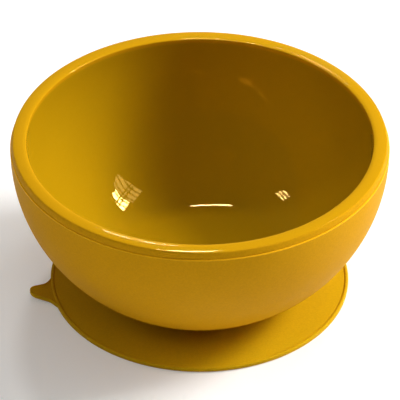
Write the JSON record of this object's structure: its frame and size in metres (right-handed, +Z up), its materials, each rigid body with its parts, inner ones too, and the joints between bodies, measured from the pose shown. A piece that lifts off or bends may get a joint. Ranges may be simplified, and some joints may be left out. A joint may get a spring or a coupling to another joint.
{
  "type": "silicone suction bowl",
  "caption": "Round silicone baby bowl, deep and glossy inside, on a soft neck and a suction disc with a small release tab.",
  "frame": {"origin": "middle of the suction disc, on the surface that the bowl stands on", "axes": "+Z up, out of the bowl's mouth; the release tab points to -X, 8 degrees towards -Y; the bowl leans about X"},
  "size_m": [0.125, 0.125, 0.0585],
  "materials": {
    "silicone_bowl": "mustard silicone, polished inside and over the rim, fine matt outside below the parting bead",
    "silicone_matt": "mustard silicone, fine matt"
  },
  "bodies": {
    "base": {"suction_disc": "silicone_matt"},
    "stem": {"neck": "silicone_matt"},
    "bowl": {"bowl": "silicone_bowl"},
    "tab": {"release_tab": "silicone_matt"}
  },
  "joints": [
    {"name": "bowl_press", "type": "slide", "parent": "base", "child": "stem", "axis": [0, 0, 1], "range_m": [-0.0014, 0], "stiffness_N_per_m": 1200, "springref_m": 0.0012, "deforming": ["suction_disc"]},
    {"name": "bowl_lean", "type": "hinge", "parent": "stem", "child": "bowl", "pos_m": [0, 0, 0.00435], "axis": [1, 0, 0], "range_deg": [-5, 5], "stiffness_Nm_per_rad": 0.2, "deforming": ["neck"]},
    {"name": "tab_lift", "type": "hinge", "parent": "base", "child": "tab", "pos_m": [-0.04941, -0.00916, 0.00162], "axis": [-0.1822, 0.9833, 0], "range_deg": [0, 90], "stiffness_Nm_per_rad": 0.003}
  ]
}
